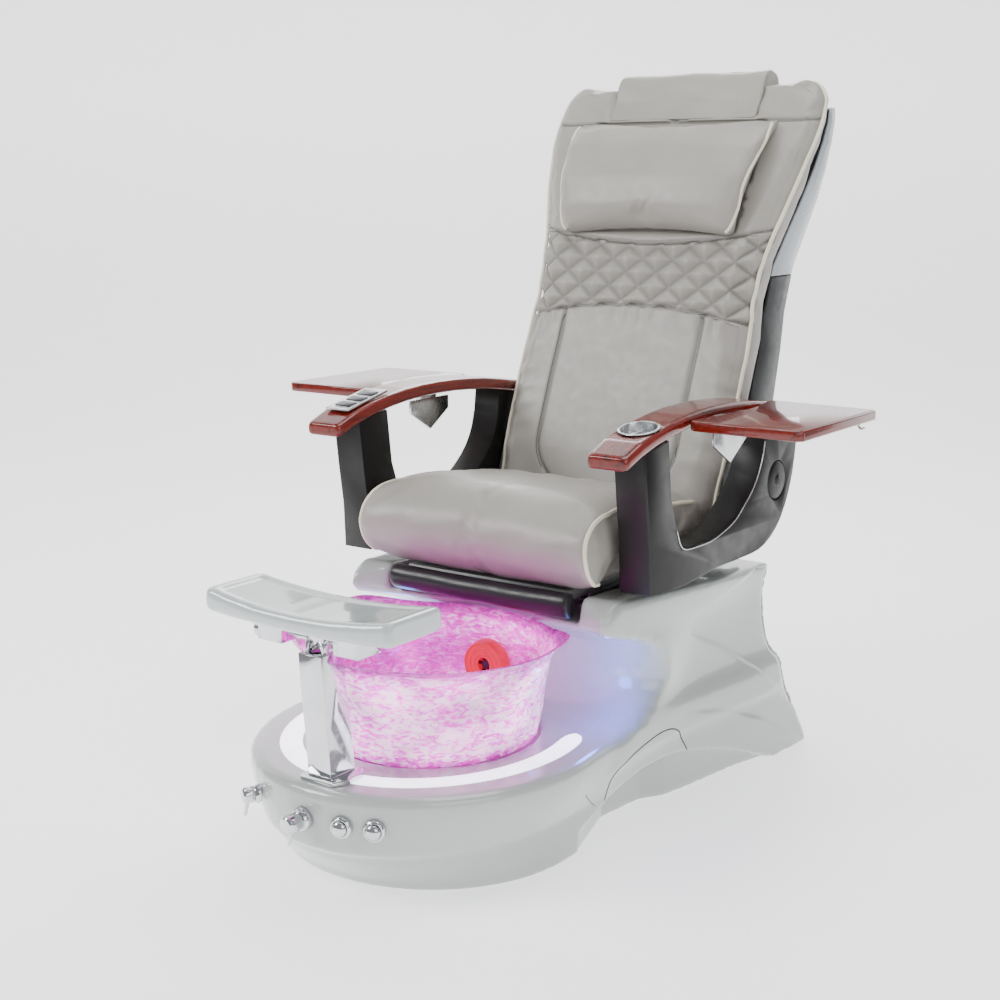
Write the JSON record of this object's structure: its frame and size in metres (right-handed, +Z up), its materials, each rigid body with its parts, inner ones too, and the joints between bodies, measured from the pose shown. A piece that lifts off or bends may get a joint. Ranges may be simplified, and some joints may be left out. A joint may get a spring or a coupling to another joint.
{
  "type": "pedicure spa chair",
  "caption": "Pedicure spa chair with a lit glass foot bath, powered sliding seat, reclining massage back, lift-up arms with folding trays and a tilting footrest.",
  "frame": {"origin": "on the floor, under the middle cross member of the steel base frame", "axes": "+Z up, the sitter faces -Y towards the foot bath and footrest, +X towards the sitter's left hand"},
  "size_m": [1.208, 1.4322, 1.441],
  "materials": {
    "gelcoat": "glossy moulded gelcoat",
    "steel": "satin grey paint",
    "bowl_glass": "pebbled glass lit pink from below",
    "light_diffuser": "opal diffuser",
    "chrome": "polished",
    "jet_red": "glossy",
    "dark_plastic": "matte",
    "rubber": "matte",
    "pad_shell": "glossy",
    "leather": "grey leather, fine grain, cream piping",
    "black_vinyl": "smooth dark vinyl",
    "silver_panel": "satin silver",
    "black_plastic": "fine-textured satin",
    "red_wood": "high-gloss lacquer",
    "cream_piping": "smooth cream welt"
  },
  "bodies": {
    "base": {"base_shell": "gelcoat", "side_panel_right": "gelcoat", "side_panel_left": "gelcoat", "rear_hatch": "gelcoat", "base_frame": "steel", "glass_bowl": "bowl_glass", "light_ring": "light_diffuser", "bowl_drain": "chrome", "jet_cover": "jet_red", "jet_motor": "dark_plastic", "drain_pump": "dark_plastic", "drain_pipe": "rubber", "control_box": "dark_plastic", "power_inlet": "dark_plastic", "temperature_valve_body": "chrome", "fill_valve_body": "chrome", "jet_button_bezel": "chrome", "drain_button_bezel": "chrome", "footrest_post": "chrome", "slide_actuator": "dark_plastic"},
    "impeller": {"jet_impeller": "dark_plastic"},
    "temperature_handle": {"temperature_valve_handle": "chrome"},
    "fill_handle": {"fill_valve_handle": "chrome"},
    "jet_button": {"jet_button_cap": "chrome"},
    "drain_button": {"drain_button_cap": "chrome"},
    "footrest": {"footrest_bracket": "chrome", "footrest_pad": "pad_shell"},
    "tilt_knob": {"footrest_knob": "chrome"},
    "seat": {"seat_frame": "steel", "seat_cushion": "leather", "seat_apron": "black_vinyl", "recline_actuator": "dark_plastic"},
    "arm_right": {"arm_support_right": "black_plastic", "arm_cap_right": "red_wood", "arm_pivot_right": "black_plastic", "tray_bracket_right": "silver_panel", "cup_holder": "silver_panel"},
    "arm_left": {"arm_support_left": "black_plastic", "arm_cap_left": "red_wood", "arm_pivot_left": "black_plastic", "tray_bracket_left": "silver_panel", "keypad_panel": "dark_plastic"},
    "folding_tray_right": {"tray_right": "red_wood", "tray_hinge_right": "chrome"},
    "folding_tray_left": {"tray_left": "red_wood", "tray_hinge_left": "chrome"},
    "key_1": {"keypad_key_1": "silver_panel"},
    "key_2": {"keypad_key_2": "silver_panel"},
    "key_3": {"keypad_key_3": "silver_panel"},
    "back": {"back_cushion": "leather", "back_frame": "steel", "back_shell_upper": "silver_panel", "back_shell_lower": "black_vinyl", "massage_rails": "steel", "top_flap": "leather"},
    "recline_ram": {"recline_rod": "steel"},
    "massage_unit": {"massage_carriage": "dark_plastic"},
    "roller_right": {"massage_roller_right": "rubber"},
    "roller_left": {"massage_roller_left": "rubber"},
    "pillow": {"pillow": "leather"}
  },
  "joints": [
    {"name": "impeller_spin", "type": "hinge", "parent": "base", "child": "impeller", "pos_m": [0, -0.112, 0.28], "axis": [0, -1, 0], "continuous": true},
    {"name": "temperature_turn", "type": "hinge", "parent": "base", "child": "temperature_handle", "pos_m": [-0.14551, -0.6142, 0.138], "axis": [-0.5022, -0.8648, 0], "range_deg": [-60, 60]},
    {"name": "fill_turn", "type": "hinge", "parent": "base", "child": "fill_handle", "pos_m": [-0.00606, -0.65393, 0.138], "axis": [-0.0215, -0.9998, 0], "range_deg": [0, 90]},
    {"name": "jet_press", "type": "slide", "parent": "base", "child": "jet_button", "axis": [-0.2567, 0.9665, 0], "range_m": [0, 0.004], "stiffness_N_per_m": 400, "springref_m": -0.001},
    {"name": "drain_press", "type": "slide", "parent": "base", "child": "drain_button", "axis": [-0.4424, 0.8968, 0], "range_m": [0, 0.004], "stiffness_N_per_m": 400, "springref_m": -0.001},
    {"name": "footrest_tilt", "type": "hinge", "parent": "base", "child": "footrest", "pos_m": [0, -0.604, 0.444], "axis": [1, 0, 0], "range_deg": [-20, 25]},
    {"name": "knob_turn", "type": "hinge", "parent": "footrest", "child": "tilt_knob", "pos_m": [-0.121, -0.604, 0.444], "axis": [-1, 0, 0], "continuous": true},
    {"name": "seat_slide", "type": "slide", "parent": "base", "child": "seat", "axis": [0, -1, 0], "range_m": [-0.04, 0.1]},
    {"name": "recline", "type": "hinge", "parent": "seat", "child": "back", "pos_m": [0, 0.352, 0.476], "axis": [-1, 0, 0], "range_deg": [0, 25]},
    {"name": "ram_stroke", "type": "slide", "parent": "seat", "child": "recline_ram", "axis": [0, -1, 0], "range_m": [0, 0.025]},
    {"name": "arm_lift_right", "type": "hinge", "parent": "seat", "child": "arm_right", "pos_m": [0.327, 0.39, 0.607], "axis": [-1, 0, 0], "range_deg": [0, 50]},
    {"name": "arm_lift_left", "type": "hinge", "parent": "seat", "child": "arm_left", "pos_m": [-0.327, 0.39, 0.607], "axis": [-1, 0, 0], "range_deg": [0, 50]},
    {"name": "tray_fold_right", "type": "hinge", "parent": "arm_right", "child": "folding_tray_right", "pos_m": [0.382, 0.165, 0.752], "axis": [0, 1, 0], "range_deg": [0, 88]},
    {"name": "tray_fold_left", "type": "hinge", "parent": "arm_left", "child": "folding_tray_left", "pos_m": [-0.382, 0.165, 0.752], "axis": [0, -1, 0], "range_deg": [0, 88]},
    {"name": "key_1_press", "type": "slide", "parent": "arm_left", "child": "key_1", "axis": [0, 0.2075, -0.9782], "range_m": [0, 0.001], "stiffness_N_per_m": 300, "springref_m": -0.001},
    {"name": "key_2_press", "type": "slide", "parent": "arm_left", "child": "key_2", "axis": [0, 0.2075, -0.9782], "range_m": [0, 0.001], "stiffness_N_per_m": 300, "springref_m": -0.001},
    {"name": "key_3_press", "type": "slide", "parent": "arm_left", "child": "key_3", "axis": [0, 0.2075, -0.9782], "range_m": [0, 0.001], "stiffness_N_per_m": 300, "springref_m": -0.001},
    {"name": "massage_travel", "type": "slide", "parent": "back", "child": "massage_unit", "axis": [0, 0.3645, 0.9312], "range_m": [-0.03, 0.48]},
    {"name": "roller_right_spin", "type": "hinge", "parent": "massage_unit", "child": "roller_right", "pos_m": [0.062, 0.44138, 0.68389], "axis": [1, 0, 0], "continuous": true},
    {"name": "roller_left_spin", "type": "hinge", "parent": "massage_unit", "child": "roller_left", "pos_m": [-0.062, 0.44138, 0.68389], "axis": [1, 0, 0], "continuous": true},
    {"name": "pillow_adjust", "type": "slide", "parent": "back", "child": "pillow", "axis": [0, -0.4819, -0.8762], "range_m": [0, 0.04]}
  ],
  "couplings": [
    {"joint": "ram_stroke", "follows": "recline", "m_per_rad": 0.0505}
  ]
}
